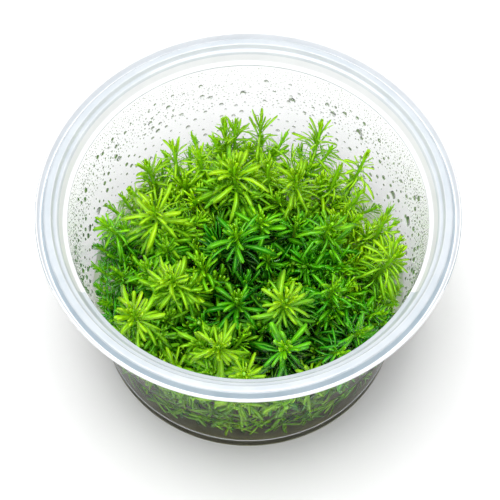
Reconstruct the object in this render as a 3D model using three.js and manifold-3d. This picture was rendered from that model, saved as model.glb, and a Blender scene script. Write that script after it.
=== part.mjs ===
// A clear plastic culture cup with a stepped rim. Nutrient gel fills its lower part, and a dense
// mound of narrow-leaved stem plants roots in the gel. Millimetres, +Z up. The origin is the
// centre of the foot ring, on the surface that the cup stands on.

import * as THREE from 'three';
import { mergeVertices } from 'three/addons/utils/BufferGeometryUtils.js';
import Module from 'manifold-3d';

// Cup
const CUP_HEIGHT = 56.6;
const RIM_RADIUS = 50.5;
const LEDGE_RADIUS = 43.2;
const LEDGE_DROP = 4.1;
const FOOT_RADIUS = 38.7;
const FLOOR_RADIUS = 37.9;
const FLOOR_TOP = 2.0;
const FOOT_WIDTH = 2.1;
const FOOT_RECESS = 1.2;
const WALL = 0.8;
const CUP_FACETS = 36;

// Gel
const GEL_TOP = 19;
const GAP = 0.3;

// Shoots
const STEM_RADIUS = 0.8;
const TIP_STEM_RADIUS = 0.5;
const STEM_FOOT = 6;
const STEM_SIDES = 4;
const LEAVES_ON_SIDE = 2;
const LEAF_HALF_THICKNESS = 0.4;
const LEAF_JOIN_SHARE = 0.15;
const ROOT_SHARE = 0.78;
const TALL_TIP = 42;
const NEIGHBOUR_ROOM = 0.5;
const WALL_ROOM = 0.9;
const HEADROOM = 7.6;
const GOLDEN_ANGLE = THREE.MathUtils.degToRad(137.5);

// Whorls from the tip down: distance below the tip along the stem, share of the shoot's full
// leaf length, and rise of the leaves above square to the stem, in degrees
const WHORLS = [
  { below: 1.5, grown: 0.5, rise: 52 },
  { below: 4.4, grown: 0.85, rise: 30 },
  { below: 9.6, grown: 1.0, rise: 12 },
];

// Shoots, measured on the plant: x, y and height of the tip, and the length of a grown leaf
const SHOOTS = [
  // Back edge, from left to right
  [-36.5, 5, 40, 5.0],
  [-33, 17, 33, 3.5],
  [-30, 15, 39, 3.8],
  [-26, 23, 38, 5.5],
  [-19.5, 27.5, 40, 5.2],
  [-13, 25, 42, 4.2],
  [-9, 31, 39, 3.4],
  [-6, 36, 38, 5.2],
  [-3.5, 33, 42, 5.0],
  [3, 35, 40, 6.5],
  [19, 33, 41, 5.2],
  [23.5, 21, 41, 3.2],
  [30, 23.5, 41, 5.2],
  [29, 15, 39, 3.2],
  [29, 9, 37, 3.4],
  [34.5, 7, 38, 4.6],
  [38, 0, 40, 3.6],
  // Middle
  [-24, 6, 45, 8.0],
  [-3, 17, 46, 8.5],
  [5, 20, 43, 4.2],
  [12, 16, 44, 7.0],
  [-21, -2, 40, 5.2],
  [-3, -1.5, 46, 7.5],
  [3, 4, 43, 6.5],
  [12, 4, 41, 5.5],
  [20.5, 1, 46, 6.5],
  [-12, -7, 40, 6.5],
  [5, -4, 40, 4.4],
  [37, -5, 42, 6.2],
  // Front, from left to right
  [-34, -5, 34, 3.2],
  [-36.5, -12, 29, 3.2],
  [-25, -8, 40, 6.5],
  [-28, -22, 43, 8.0],
  [-19, -14.5, 47, 8.5],
  [-12, -22, 38, 4.0],
  [-19, -33, 34, 6.5],
  [-7, -32.5, 45, 8.0],
  [-3, -18.5, 43, 7.8],
  [-1, -37, 41, 5.2],
  [9, -21, 48, 9.0],
  [9, -32, 44, 7.8],
  [17, -35, 34, 6.5],
  [21, -14, 42, 5.0],
  [23, -30, 38, 4.8],
  [27, -26, 40, 6.2],
  [33, -17, 33, 4.2],
  [37, -10, 32, 3.8],
];

const clearPlastic = new THREE.MeshStandardMaterial({
  color: 0xe9eef2, roughness: 0.12, metalness: 0, transparent: true, opacity: 0.3,
});
const nutrientGel = new THREE.MeshStandardMaterial({
  color: 0xe3e8e6, roughness: 0.1, metalness: 0, transparent: true, opacity: 0.4,
});
const tallLeaf = new THREE.MeshStandardMaterial({ color: 0x74b92a, roughness: 0.45, metalness: 0 });
const lowLeaf = new THREE.MeshStandardMaterial({ color: 0x4f8f1c, roughness: 0.5, metalness: 0 });

const { Manifold, Mesh: ManifoldMesh } = await loadManifold();

async function loadManifold() {
  const wasm = await Module();
  wasm.setup();
  return wasm;
}

// Radius of the cup's inner wall at a height above the table
function innerRadius(height) {
  const share = (height - FLOOR_TOP) / (CUP_HEIGHT - LEDGE_DROP - FLOOR_TOP);
  return THREE.MathUtils.lerp(FLOOR_RADIUS, LEDGE_RADIUS, share);
}

// A body turned about +Z from a list of [radius, height] points
function turned(profile) {
  const points = profile.map(([radius, height]) => new THREE.Vector2(radius, height));
  return new THREE.LatheGeometry(points, CUP_FACETS).rotateX(Math.PI / 2);
}

// One closed wall: foot ring and recessed floor, tapered side, flange with a bead and a groove,
// collar and ledge for a lid, then the inside down to the floor
function cupGeometry() {
  const top = CUP_HEIGHT;
  const ledge = top - LEDGE_DROP;
  const footInner = FOOT_RADIUS - FOOT_WIDTH;
  return turned([
    [0, FOOT_RECESS],
    [footInner - 0.4, FOOT_RECESS],
    [footInner, 0],
    [FOOT_RADIUS - 0.5, 0],
    [FOOT_RADIUS, 0.6],
    [LEDGE_RADIUS + WALL, ledge - 1.2],
    [LEDGE_RADIUS + 2.6, ledge - 0.4],
    [LEDGE_RADIUS + 4.2, top - 1.1],
    [RIM_RADIUS - 0.5, top - 1.8],
    [RIM_RADIUS, top - 1.3],
    [RIM_RADIUS - 0.1, top - 0.4],
    [RIM_RADIUS - 0.6, top],
    [RIM_RADIUS - 1.4, top - 0.3],
    [RIM_RADIUS - 2.1, top],
    [RIM_RADIUS - 3.9, top],
    [LEDGE_RADIUS + 1.9, ledge + 0.5],
    [LEDGE_RADIUS + 1.5, ledge + 0.1],
    [LEDGE_RADIUS, ledge],
    [innerRadius(FLOOR_TOP + 0.7), FLOOR_TOP + 0.7],
    [FLOOR_RADIUS - 0.9, FLOOR_TOP],
    [0, FLOOR_TOP],
  ]);
}

// A closed mesh with shared corners as a solid for joining and cutting
function solidOf(geometry) {
  const bare = geometry.clone();
  bare.deleteAttribute('normal');
  bare.deleteAttribute('uv');
  const merged = mergeVertices(bare);
  const corners = [];
  for (let i = 0; i < merged.index.count; i += 3) {
    const [a, b, c] = [0, 1, 2].map((k) => merged.index.getX(i + k));
    if (a !== b && b !== c && c !== a) corners.push(a, b, c);
  }
  return new Manifold(new ManifoldMesh({
    numProp: 3,
    vertProperties: new Float32Array(merged.attributes.position.array),
    triVerts: new Uint32Array(corners),
  }));
}

function geometryOf(solid) {
  const { vertProperties, triVerts } = solid.getMesh();
  const geometry = new THREE.BufferGeometry();
  geometry.setAttribute('position', new THREE.BufferAttribute(vertProperties, 3));
  geometry.setIndex(new THREE.BufferAttribute(triVerts, 1));
  geometry.computeVertexNormals();
  return geometry;
}

// A blind hole for a stem's foot, open at the top of the gel
function socketGeometry(root) {
  const inRadius = STEM_RADIUS + GAP;
  const outRadius = inRadius / Math.cos(Math.PI / STEM_SIDES);
  const bottom = STEM_FOOT - GAP;
  const height = GEL_TOP + 1 - bottom;
  const socket = new THREE.CylinderGeometry(outRadius, outRadius, height, STEM_SIDES);
  return socket.rotateX(Math.PI / 2).translate(root.x, root.y, bottom + height / 2);
}

// The gel follows the inside of the cup, with a socket for each stem
function gelGeometry(roots) {
  const bottom = FLOOR_TOP + GAP;
  const sideFoot = FLOOR_TOP + 0.9;
  const block = turned([
    [0, bottom],
    [FLOOR_RADIUS - 1.2, bottom],
    [innerRadius(sideFoot) - GAP, sideFoot],
    [innerRadius(GEL_TOP) - GAP, GEL_TOP],
    [0, GEL_TOP],
  ]);
  let gel = solidOf(block);
  for (const root of roots) gel = gel.subtract(solidOf(socketGeometry(root)));
  return geometryOf(gel);
}

// A stem's line: upright in the gel, then leaning out from the middle of the cup to its tip
class ShootLine extends THREE.Curve {
  constructor([x, y, height, leafLength]) {
    super();
    this.leafLength = leafLength;
    this.tip = new THREE.Vector3(x, y, height);
    this.root = new THREE.Vector3(x * ROOT_SHARE, y * ROOT_SHARE, GEL_TOP);
    this.foot = new THREE.Vector3(this.root.x, this.root.y, STEM_FOOT);
    this.length = this.root.distanceTo(this.tip);
    this.heading = new THREE.Vector3().subVectors(this.tip, this.root).normalize();
  }

  getPoint(share, target = new THREE.Vector3()) {
    return target.lerpVectors(this.root, this.tip, share);
  }

  // Shortest distance from a point to the stem, foot included
  distanceTo(point) {
    const nearest = new THREE.Vector3();
    const inGel = new THREE.Line3(this.foot, this.root);
    const inAir = new THREE.Line3(this.root, this.tip);
    const distances = [inGel, inAir].map((line) => (
      line.closestPointToPoint(point, true, nearest).distanceTo(point)
    ));
    return Math.min(...distances);
  }
}

// True where a leaf of this shoot has room: nearer to its own stem than to any other, clear of
// the wall and the gel, and below the headspace
function hasRoom(point, line, others) {
  const own = line.distanceTo(point) + NEIGHBOUR_ROOM;
  const clearOfWall = Math.hypot(point.x, point.y) < innerRadius(point.z) - WALL_ROOM;
  const clearOfGel = point.z > GEL_TOP + LEAF_HALF_THICKNESS + GAP;
  const belowRim = point.z < CUP_HEIGHT - HEADROOM;
  return clearOfWall && clearOfGel && belowRim && others.every((o) => o.distanceTo(point) > own);
}

// The farthest point that a leaf can reach from its place on the stem, up to its full length
function leafTip(start, direction, fullLength, line, others) {
  const step = 0.25;
  const shortest = 1.2;
  let tip = start.clone().addScaledVector(direction, shortest);
  for (let reach = shortest + step; reach <= fullLength; reach += step) {
    const next = start.clone().addScaledVector(direction, reach);
    if (!hasRoom(next, line, others)) break;
    tip = next;
  }
  return tip;
}

// A stem and its leaves as one closed mesh, built upwards from rings of corners. Each whorl is
// a star whose points are the leaves. It joins the stem at a ring below it and one above it.
function shootGeometry(line, others, firstTurn) {
  const positions = [];
  const triangles = [];
  const starCorners = 2 * STEM_SIDES * LEAVES_ON_SIDE;
  const halfLeafAngle = (2 * Math.PI) / starCorners;

  const add = (point) => {
    positions.push(point.x, point.y, point.z);
    return positions.length / 3 - 1;
  };
  const side = new THREE.Vector3(1, 0, 0).projectOnPlane(line.heading).normalize();
  const across = new THREE.Vector3().crossVectors(line.heading, side);
  const outward = (angle) => new THREE.Vector3()
    .addScaledVector(side, Math.cos(angle))
    .addScaledVector(across, Math.sin(angle));
  const ring = (centre, radius, turn) => Array.from({ length: STEM_SIDES }, (_, i) => {
    const angle = turn + (2 * Math.PI * i) / STEM_SIDES;
    return add(centre.clone().addScaledVector(outward(angle), radius));
  });
  const stretch = (lower, upper) => {
    for (let i = 0; i < STEM_SIDES; i += 1) {
      const next = (i + 1) % STEM_SIDES;
      triangles.push(lower[i], lower[next], upper[i]);
      triangles.push(lower[next], upper[next], upper[i]);
    }
  };
  // Corners of a star: joins close to the stem at even places, leaf tips at odd ones
  const star = (centre, radius, turn, { grown, rise }) => {
    const length = grown * line.leafLength;
    const climb = THREE.MathUtils.degToRad(rise);
    return Array.from({ length: starCorners }, (_, i) => {
      const away = outward(turn + halfLeafAngle * i);
      const start = centre.clone().addScaledVector(away, radius);
      const direction = away.multiplyScalar(Math.cos(climb))
        .addScaledVector(line.heading, Math.sin(climb));
      const isTip = i % 2 === 1;
      if (isTip) return add(leafTip(start, direction, length, line, others));
      return add(start.addScaledVector(direction, LEAF_JOIN_SHARE * length));
    });
  };
  // One face of a star, from its corners in to a ring on the stem
  const starFace = (corners, stemRing, facesUp) => {
    const push = (a, b, c) => triangles.push(...(facesUp ? [a, b, c] : [a, c, b]));
    stemRing.forEach((stem, i) => {
      const first = (2 * i - 1) * LEAVES_ON_SIDE;
      const corner = (k) => corners[(first + k + starCorners) % starCorners];
      for (let k = 0; k < 2 * LEAVES_ON_SIDE; k += 1) push(stem, corner(k), corner(k + 1));
      push(stem, corner(2 * LEAVES_ON_SIDE), stemRing[(i + 1) % STEM_SIDES]);
    });
  };

  let turn = firstTurn;
  const foot = ring(line.foot, STEM_RADIUS, turn);
  for (let i = 1; i < STEM_SIDES - 1; i += 1) triangles.push(foot[0], foot[i + 1], foot[i]);
  const aboveGel = line.root.clone();
  aboveGel.z += STEM_RADIUS;
  let last = ring(aboveGel, STEM_RADIUS, turn);
  stretch(foot, last);

  for (const whorl of [...WHORLS].reverse()) {
    turn += halfLeafAngle;
    const share = 1 - whorl.below / line.length;
    const radius = THREE.MathUtils.lerp(STEM_RADIUS, TIP_STEM_RADIUS, share);
    const centre = line.getPoint(share);
    const half = line.heading.clone().multiplyScalar(LEAF_HALF_THICKNESS);
    const lower = ring(centre.clone().sub(half), radius, turn);
    const corners = star(centre, radius, turn, whorl);
    const upper = ring(centre.clone().add(half), radius, turn);
    stretch(last, lower);
    starFace(corners, lower, false);
    starFace(corners, upper, true);
    last = upper;
  }

  const bud = add(line.tip);
  last.forEach((corner, i) => triangles.push(corner, last[(i + 1) % STEM_SIDES], bud));
  const geometry = new THREE.BufferGeometry();
  geometry.setAttribute('position', new THREE.Float32BufferAttribute(positions, 3));
  geometry.setIndex(triangles);
  geometry.computeVertexNormals();
  return geometry;
}

function namedMesh(name, geometry, material) {
  const mesh = new THREE.Mesh(geometry, material);
  mesh.name = name;
  return mesh;
}

const plantInCup = new THREE.Group();
const lines = SHOOTS.map((shoot) => new ShootLine(shoot));

plantInCup.add(namedMesh('cup', cupGeometry(), clearPlastic));
plantInCup.add(namedMesh('nutrient_gel', gelGeometry(lines.map(({ root }) => root)), nutrientGel));

lines.forEach((line, index) => {
  const others = lines.filter((other) => other !== line);
  const geometry = shootGeometry(line, others, index * GOLDEN_ANGLE);
  const name = `shoot_${String(index + 1).padStart(2, '0')}`;
  plantInCup.add(namedMesh(name, geometry, line.tip.z >= TALL_TIP ? tallLeaf : lowLeaf));
});

export default plantInCup;
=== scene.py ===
# %% [markdown]
# # Narrow-leaved stem plants in a clear culture cup
# The plants grow in a round clear plastic cup. Its lower third is filled with clear nutrient
# gel, the shoots root in that gel and fill the cup as one dense mound, and the moist air inside
# leaves droplets on the wall. The solids of the cup, the gel and every shoot are loaded first,
# as a fixed frame. The rest of this lesson gives each of them its fine surface.

# %% Load the frame
import math
import random

import bpy
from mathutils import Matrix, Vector


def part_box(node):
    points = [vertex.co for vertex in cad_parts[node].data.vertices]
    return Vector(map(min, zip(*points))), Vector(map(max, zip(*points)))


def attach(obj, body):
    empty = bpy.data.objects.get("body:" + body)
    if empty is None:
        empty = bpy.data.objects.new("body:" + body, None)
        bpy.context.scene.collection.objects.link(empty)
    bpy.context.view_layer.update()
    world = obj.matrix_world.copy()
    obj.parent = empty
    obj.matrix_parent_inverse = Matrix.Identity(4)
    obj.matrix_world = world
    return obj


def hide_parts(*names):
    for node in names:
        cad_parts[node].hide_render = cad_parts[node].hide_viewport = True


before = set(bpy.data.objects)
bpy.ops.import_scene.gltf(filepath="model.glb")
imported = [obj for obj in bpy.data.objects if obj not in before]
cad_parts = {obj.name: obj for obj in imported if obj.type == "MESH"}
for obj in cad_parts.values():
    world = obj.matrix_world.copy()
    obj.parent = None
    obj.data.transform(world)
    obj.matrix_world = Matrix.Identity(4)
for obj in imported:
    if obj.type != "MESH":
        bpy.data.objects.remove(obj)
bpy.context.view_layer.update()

# %% [markdown]
# ## Sizes
# Everything is placed from the solids: the rim and the height from the cup's box, the gel's
# surface from the gel's box. Only small features that the solids round off are new values here.

# %% Sizes from the frame
MM = 0.001
_, cup_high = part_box("cup")
_, gel_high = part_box("nutrient_gel")
RIM_RADIUS = cup_high.x
CUP_TOP = cup_high.z
GEL_TOP = gel_high.z
LEDGE_RADIUS = 43.2 * MM
LEDGE_HEIGHT = CUP_TOP - 4.1 * MM
FLOOR_TOP = 2.0 * MM
FLOOR_RADIUS = 37.9 * MM
FLOOR_FLAT = FLOOR_RADIUS - 0.9 * MM
FLOOR_BEVEL_TOP = FLOOR_TOP + 0.7 * MM
FOOT_RADIUS = 38.7 * MM
WALL = 0.8 * MM
WALL_SLOPE = (LEDGE_RADIUS - FLOOR_RADIUS) / (LEDGE_HEIGHT - FLOOR_TOP)


def inner_radius(height):
    """Radius of the inside of the cup's wall at a height above the table."""
    return FLOOR_RADIUS + WALL_SLOPE * (height - FLOOR_TOP)


def polar(radius, bearing, height=0.0):
    """The place at a distance and bearing from the cup's axis."""
    return Vector((radius * math.cos(bearing), radius * math.sin(bearing), height))


shoot_names = sorted(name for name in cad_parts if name.startswith("shoot_"))
print("rim radius", round(RIM_RADIUS, 4), "gel surface at", round(GEL_TOP, 4), "shoots", len(shoot_names))

# %% [markdown]
# ## Camera
# The photograph looks down into the cup from about 61 degrees above the table. The ellipses of
# the rim, the ledge and the foot fix that angle, and how much the near side is enlarged fixes
# the distance. A long lens from 35 cm gives the same picture with no lens shift.

# %% Camera
CAMERA_ELEVATION = math.radians(61.35)
CAMERA_DISTANCE = 0.350
AIM = Vector((0.42 * MM, -12.33 * MM, CUP_TOP))
LENS_MM = 108.3


def into_scene(thing):
    """Puts an object into the scene and gives it back."""
    bpy.context.scene.collection.objects.link(thing)
    return thing


camera_data = bpy.data.cameras.new("camera")
camera_data.lens = LENS_MM
camera_data.sensor_width = 36
camera_data.clip_start = 0.01
camera_data.clip_end = 10
camera = into_scene(bpy.data.objects.new("camera", camera_data))
back = Vector((0, -math.cos(CAMERA_ELEVATION), math.sin(CAMERA_ELEVATION)))
camera.location = AIM + back * CAMERA_DISTANCE
camera.rotation_euler = (math.pi / 2 - CAMERA_ELEVATION, 0, 0)
bpy.context.scene.camera = camera
bpy.context.scene.view_settings.view_transform = "Standard"
print("camera at", [round(c, 3) for c in camera.location])

# %% [markdown]
# ## Helpers for nodes and meshes
# Geometry and material trees are both built from nodes, so a few short helpers serve them all.
# `add` makes a node, sets its options and feeds its inputs, and `calculate` does arithmetic.


# %% Node helpers
def add(tree, kind, inputs=None, **options):
    """A new node. Inputs go by name or place, and are links where the value is a socket."""
    made = tree.nodes.new(kind)
    for name, value in options.items():
        setattr(made, name, value)
    for key, value in (inputs or {}).items():
        usable = [s for s in made.inputs if s.enabled]
        socket = made.inputs[key] if isinstance(key, int) else next(s for s in usable if s.name == key)
        if isinstance(value, bpy.types.NodeSocket):
            tree.links.new(value, socket)
        else:
            socket.default_value = value
    return made


def out(made, name=None):
    """The node's first output that is in use, or the one with this name."""
    return next(s for s in made.outputs if s.enabled and (name is None or s.name == name))


def calculate(tree, operation, *values):
    """The result of one arithmetic node."""
    return out(add(tree, "ShaderNodeMath", dict(enumerate(values)), operation=operation))


def linear(red, green, blue):
    """A colour as it looks on screen, 0 to 255, as the light values that shaders use."""
    return tuple((c / 255) ** 2.2 for c in (red, green, blue)) + (1.0,)


def ramp(tree, factor, stops):
    """A colour ramp with stops of (place, colour)."""
    made = add(tree, "ShaderNodeValToRGB", {0: factor})
    elements = made.color_ramp.elements
    while len(elements) < len(stops):
        elements.new(0.5)
    for element, (place, colour) in zip(elements, stops):
        element.position = place
        element.color = colour
    return out(made)


def span(tree, value, start, end, at_start, at_end, **options):
    """The value taken from one range to another, held at both ends."""
    feeds = {"Value": value, "From Min": start, "From Max": end, "To Min": at_start, "To Max": at_end}
    return out(add(tree, "ShaderNodeMapRange", feeds, **options))


# %% Material and mesh helpers
def new_material(name):
    """A material with its tree and its Principled node."""
    made = bpy.data.materials.new(name)
    made.use_nodes = True
    return made, made.node_tree, made.node_tree.nodes["Principled BSDF"]


def new_body(name, points, faces, materials=(), smooth=True):
    """An object with a mesh of these points and faces, not yet in the scene."""
    mesh = bpy.data.meshes.new(name)
    mesh.from_pydata(points, [], faces)
    mesh.polygons.foreach_set("use_smooth", [smooth] * len(mesh.polygons))
    for material in materials:
        mesh.materials.append(material)
    return bpy.data.objects.new(name, mesh)


# %% [markdown]
# ## Table and light
# A white table carries the cup. As in a product studio, one large soft lamp hangs over it, a
# weaker one stands in front, and the world fills in the rest. The world is bright above and has
# a dark ring low down, as a studio has beyond its lamps: the edges of clear plastic and the
# upper sides of droplets bend that ring into view, which draws them as fine grey lines.

# %% Table and light
TABLE_HALF = 2.0
LAMP_AIM = Vector((0, 0, 0.03))
LAMP_SIZE = 0.5
STUDIO_GLOW = (
    (0.0, (0.5, 0.49, 0.47, 1)),
    (0.05, (0.36, 0.36, 0.36, 1)),
    (0.22, (0.42, 0.43, 0.45, 1)),
    (0.5, (1.0, 1.0, 1.0, 1)),
)

table_white, tree, shader = new_material("table_white")
shader.inputs["Base Color"].default_value = (0.92, 0.92, 0.92, 1)
shader.inputs["Roughness"].default_value = 0.9
shader.inputs["Specular IOR Level"].default_value = 0.1
corners = [(x * TABLE_HALF, y * TABLE_HALF, 0) for x, y in ((-1, -1), (1, -1), (1, 1), (-1, 1))]
table = into_scene(new_body("table", corners, [(0, 1, 2, 3)], [table_white], smooth=False))


def soft_light(name, place, watts):
    """A round lamp that looks at the cup."""
    data = bpy.data.lights.new(name, "AREA")
    data.shape = "DISK"
    data.size = LAMP_SIZE
    data.energy = watts
    lamp = into_scene(bpy.data.objects.new(name, data))
    lamp.location = place
    lamp.rotation_euler = (LAMP_AIM - Vector(place)).to_track_quat("-Z", "Y").to_euler()


soft_light("sky_panel", (-0.05, 0.02, 0.80), 5.0)
soft_light("front_panel", (0.08, -0.60, 0.42), 1.0)

world = bpy.data.worlds.new("studio")
world.use_nodes = True
bpy.context.scene.world = world
tree = world.node_tree
direction = out(add(tree, "ShaderNodeTexCoord"), "Generated")
climb = out(add(tree, "ShaderNodeSeparateXYZ", {0: direction}), "Z")
background = tree.nodes["Background"]
tree.links.new(ramp(tree, climb, STUDIO_GLOW), background.inputs["Color"])
background.inputs["Strength"].default_value = 0.62
print("table, light and world are in place")

# %% [markdown]
# ## Cup
# The real cup is one thin moulded wall, so its section is drawn once and turned about the
# upright axis. The section runs from the recessed floor, round the foot, up the tapered side,
# round the flange with its bead and groove, and back down the inside. Corners that a mould
# rounds are short arcs of a few points. Smooth shading blends the directions of neighbouring
# faces, and on a long straight wall a tilted blend bends light the wrong way. So each arc has a
# holding ring close by on either side, which keeps the blend inside a narrow strip.

# %% Turn a section into a body
CUP_SEGMENTS = 160
MOST_OF_SIDE = 0.3


def rounded(points, radius, steps=4, hold=0.12 * MM):
    """Replaces each inner corner of a section with a short arc between two holding points."""
    result = [points[0]]
    for before, corner, after in zip(points, points[1:], points[2:]):
        before, corner, after = Vector(before), Vector(corner), Vector(after)
        into, away = corner - before, after - corner
        start = corner - into.normalized() * min(radius, into.length * MOST_OF_SIDE)
        end = corner + away.normalized() * min(radius, away.length * MOST_OF_SIDE)
        if into.length > 4 * hold:
            result.append(tuple(start - into.normalized() * hold))
        for step in range(steps + 1):
            share = step / steps
            result.append(tuple(start.lerp(corner, share).lerp(corner.lerp(end, share), share)))
        if away.length > 4 * hold:
            result.append(tuple(end + away.normalized() * hold))
    return result + [points[-1]]


def turned(name, section, materials):
    """A smooth body turned about the upright axis from (radius, height) points."""
    angles = [2 * math.pi * i / CUP_SEGMENTS for i in range(CUP_SEGMENTS)]
    points, rows = [], []
    for radius, height in section:
        if radius == 0:
            rows.append([len(points)] * CUP_SEGMENTS)
            points.append((0, 0, height))
        else:
            rows.append(range(len(points), len(points) + CUP_SEGMENTS))
            points += [polar(radius, angle, height) for angle in angles]
    faces = []
    for low, high in zip(rows, rows[1:]):
        for i in range(CUP_SEGMENTS):
            j = (i + 1) % CUP_SEGMENTS
            faces.append(tuple(dict.fromkeys((low[i], low[j], high[j], high[i]))))
    body = into_scene(new_body(name, points, faces, materials))
    body.data.validate()
    return body


print("bodies are turned in", CUP_SEGMENTS, "steps")

# %% [markdown]
# The plastic is clear but not as clear as glass: a little of the light is scattered white in
# it. Looking through one wall that is only a veil. Looking along the flange, or through its
# folds, it adds up to milky white bands. So each zone has a finish of its own. The wall is
# clear, and inside above the gel it carries a mist too fine to model, which grows rougher
# towards the ledge. The lip and the ledge are milky and the bead is cloudy. The greyer creases
# and steps between the bands and the bead's outer side are painted shade in their tones, and
# the foot and floor are painted darker, as shade, for the gel and the shaded underside seen
# through them. At this slant a wall with the index of solid plastic, 1.49, would mirror so much
# of the white table that the plants behind it would fade. The photograph shows next to no such
# mirroring, so the wall has a lower index and the flange keeps the full one.

# %% Plastic finishes
WALL_IOR = 1.06
FLANGE_IOR = 1.49
MIST_FROM = GEL_TOP + 14 * MM
# Index, share of the light let through, two tones, and roughness at the gel and at the ledge
PLASTICS = {
    "clear": (WALL_IOR, 1.0, (0.93, 0.94, 0.94, 1), (0.955, 0.96, 0.96, 1), 0.01, 0.02),
    "misted": (WALL_IOR, 0.98, (0.895, 0.9, 0.905, 1), (0.92, 0.925, 0.93, 1), 0.02, 0.08),
    "milky": (FLANGE_IOR, 0.05, (0.86, 0.865, 0.88, 1), (0.9, 0.905, 0.92, 1), 0.06, 0.08),
    # The step tone is painted shade: blue-grey for the bead's outer side and the lip's edge
    "step": (FLANGE_IOR, 0.3, (0.5, 0.61, 0.69, 1), (0.6, 0.7, 0.77, 1), 0.06, 0.08),
    # The foot tone is painted shade: olive-dark for the gel and underside seen through the foot
    "foot": (WALL_IOR, 0.9, (0.62, 0.6, 0.42, 1), (0.72, 0.7, 0.52, 1), 0.05, 0.05),
    # The crease tone is painted shade: greyer for the flange's creases and the foot's step
    "crease_shade": (FLANGE_IOR, 0.2, (0.77, 0.81, 0.85, 1), (0.84, 0.88, 0.91, 1), 0.06, 0.08),
    "cloudy": (FLANGE_IOR, 0.15, (0.63, 0.69, 0.74, 1), (0.71, 0.755, 0.795, 1), 0.06, 0.08),
}
FINISHES = list(PLASTICS)


def plastic(name, ior, passing, dark, pale, at_gel, at_ledge):
    """Plastic in soft patches of two tones, with a roughness that changes up the wall."""
    made, tree, shader = new_material(name)
    shader.inputs["Transmission Weight"].default_value = passing
    shader.inputs["IOR"].default_value = ior
    place = out(add(tree, "ShaderNodeTexCoord"), "Object")
    patches = out(add(tree, "ShaderNodeTexNoise", {"Vector": place, "Scale": 160.0, "Detail": 3.0}))
    tree.links.new(ramp(tree, patches, [(0.3, dark), (0.7, pale)]), shader.inputs["Base Color"])
    height = out(add(tree, "ShaderNodeSeparateXYZ", {0: place}), "Z")
    rising = span(tree, height, MIST_FROM, LEDGE_HEIGHT, at_gel, at_ledge)
    uneven = span(tree, patches, 0.35, 0.65, 0.7, 1.3)
    tree.links.new(calculate(tree, "MULTIPLY", rising, uneven), shader.inputs["Roughness"])
    return made


plastics = [plastic(f"{finish}_plastic", *values) for finish, values in PLASTICS.items()]
print("plastic finishes:", FINISHES)

# %% [markdown]
# The section's points are (radius, height). The ones that a finish begins or ends at have names,
# so that the same values draw the shape and choose the finish of each face. The lip's edge takes
# the dark step tone, painted shade, except on the nearest part of the flange: that part is seen
# more steeply and shows its zones in other tones, so there the lip's edge is painted as white as
# the lip and the ledge in the greyer cloudy tone, painted light and shade.

# %% Cup
UNDERSIDE = 1.2 * MM
FOOT_INNER = FOOT_RADIUS - 2.1 * MM
FOOT_HEIGHT = 3.7 * MM
BEAD_OUTER = RIM_RADIUS - 2.1 * MM
BEAD_INNER = RIM_RADIUS - 3.8 * MM
BEAD_UNDERSIDE = CUP_TOP - 1.1 * MM
GROOVE_FLOOR = CUP_TOP - 1.6 * MM
GROOVE_UNDERSIDE = GROOVE_FLOOR - 0.8 * MM
GROOVE_INNER = BEAD_OUTER + 0.7 * MM
LIP_SHOULDER = CUP_TOP - 0.4 * MM
STEP_RADIUS = BEAD_INNER - 0.5 * MM
LOW_STEP_OUTER = BEAD_INNER - 1.3 * MM
LOW_STEP_INNER = BEAD_INNER - 1.7 * MM
LOW_STEP_FOOT = CUP_TOP - 2.1 * MM
FRONT = -22 * MM

cup_outline = [
    (0.0, UNDERSIDE),
    (FOOT_INNER - 0.4 * MM, UNDERSIDE),
    (FOOT_INNER, 0.0),
    (FOOT_RADIUS, 0.0),
    (FOOT_RADIUS + 0.2 * MM, 0.2 * MM),
    (FOOT_RADIUS + 0.15 * MM, FOOT_HEIGHT),
    (FOOT_RADIUS + 0.4 * MM, 3.95 * MM),
    (FOOT_RADIUS + 0.25 * MM, 4.25 * MM),
    (LEDGE_RADIUS + WALL, LEDGE_HEIGHT - 1.2 * MM),
    (LEDGE_RADIUS + 2.0 * MM, LEDGE_HEIGHT + 0.9 * MM),
    (BEAD_INNER - 1.2 * MM, CUP_TOP - 2.3 * MM),
    (BEAD_INNER + 0.2 * MM, CUP_TOP - 1.9 * MM),
    (BEAD_INNER + 0.6 * MM, CUP_TOP - 1.0 * MM),
    (BEAD_OUTER - 0.4 * MM, BEAD_UNDERSIDE),
    (BEAD_OUTER + 0.2 * MM, GROOVE_UNDERSIDE),
    (RIM_RADIUS - 1.0 * MM, GROOVE_UNDERSIDE),
    (RIM_RADIUS, LIP_SHOULDER),
    (RIM_RADIUS - 0.2 * MM, CUP_TOP),
    (RIM_RADIUS - 0.5 * MM, CUP_TOP),
    (RIM_RADIUS - 1.1 * MM, GROOVE_FLOOR),
    (GROOVE_INNER, GROOVE_FLOOR),
    (BEAD_OUTER, CUP_TOP - 0.2 * MM),
    (BEAD_OUTER - 0.3 * MM, CUP_TOP),
    (BEAD_INNER, CUP_TOP),
    (STEP_RADIUS, BEAD_UNDERSIDE),
    (LOW_STEP_OUTER, CUP_TOP - 1.4 * MM),
    (LOW_STEP_INNER, LOW_STEP_FOOT),
    (LEDGE_RADIUS + 1.0 * MM, LEDGE_HEIGHT + 0.5 * MM),
    (LEDGE_RADIUS, LEDGE_HEIGHT),
    (inner_radius(FLOOR_BEVEL_TOP), FLOOR_BEVEL_TOP),
    (FLOOR_FLAT, FLOOR_TOP),
    (0.0, FLOOR_TOP),
]


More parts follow.
